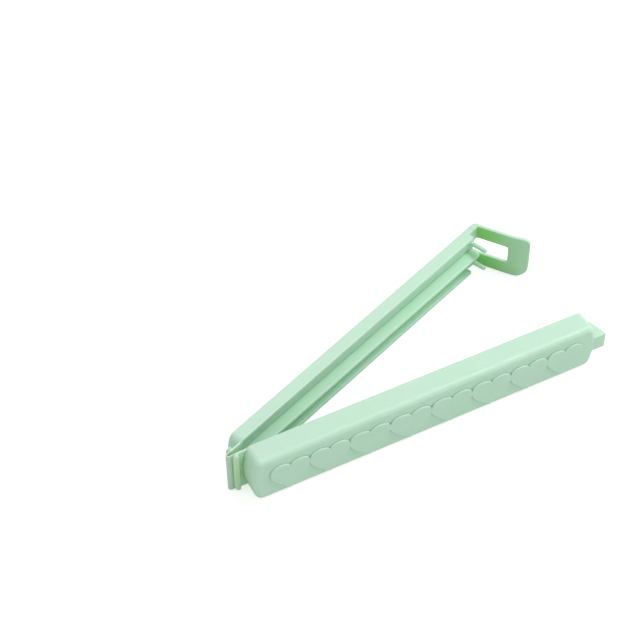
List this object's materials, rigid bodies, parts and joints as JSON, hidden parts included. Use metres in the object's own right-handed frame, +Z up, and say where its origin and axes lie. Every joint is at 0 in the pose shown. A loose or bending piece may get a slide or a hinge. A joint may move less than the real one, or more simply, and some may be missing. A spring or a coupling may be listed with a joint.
{
  "type": "bag clip",
  "caption": "Slim one-piece moulded bag clip: hollow cover jaw with a row of raised hearts, channel jaw with a clamping blade, living hinge and a sprung snap loop.",
  "frame": {"origin": "on the table plane, in the middle of the edge that the lower jaw rests on", "axes": "+X along the lower jaw from the hinge to the latch, +Y out of the lower jaw's back, +Z up across the width of the jaws, with the clip lying on its side"},
  "size_m": [0.1109, 0.0505, 0.0145],
  "materials": {
    "moulding": "satin pastel mint polypropylene",
    "thin_moulding": "satin pastel mint polypropylene, thin enough to glow green"
  },
  "bodies": {
    "lower_jaw": {"lower_back_plate": "moulding", "channel_upper_wall": "moulding", "channel_rest_wall": "moulding", "channel_end_wall": "moulding", "clamp_blade": "moulding", "stop_peg_upper": "moulding", "stop_peg_lower": "moulding", "lower_hinge_leaf": "moulding", "hinge_film": "thin_moulding", "latch_elbow": "moulding"},
    "latch": {"latch_arm_upper": "thin_moulding", "latch_arm_lower": "thin_moulding", "latch_bridge": "thin_moulding", "thumb_tab": "thin_moulding"},
    "upper_jaw": {"cover_shell": "moulding", "cover_rib_upper": "moulding", "cover_rib_lower": "moulding", "catch_tongue": "moulding", "upper_hinge_leaf": "moulding"}
  },
  "joints": [
    {"name": "jaw_hinge", "type": "hinge", "parent": "lower_jaw", "child": "upper_jaw", "pos_m": [-0.05275, -0.00093, 0.00725], "axis": [0, 0, -1], "range_deg": [-21.9, 158.1], "stiffness_Nm_per_rad": 0.002},
    {"name": "latch_flex", "type": "hinge", "parent": "lower_jaw", "child": "latch", "pos_m": [0.05304, 0.00093, 0.00725], "axis": [0, 0, 1], "range_deg": [0, 12], "stiffness_Nm_per_rad": 0.3}
  ]
}
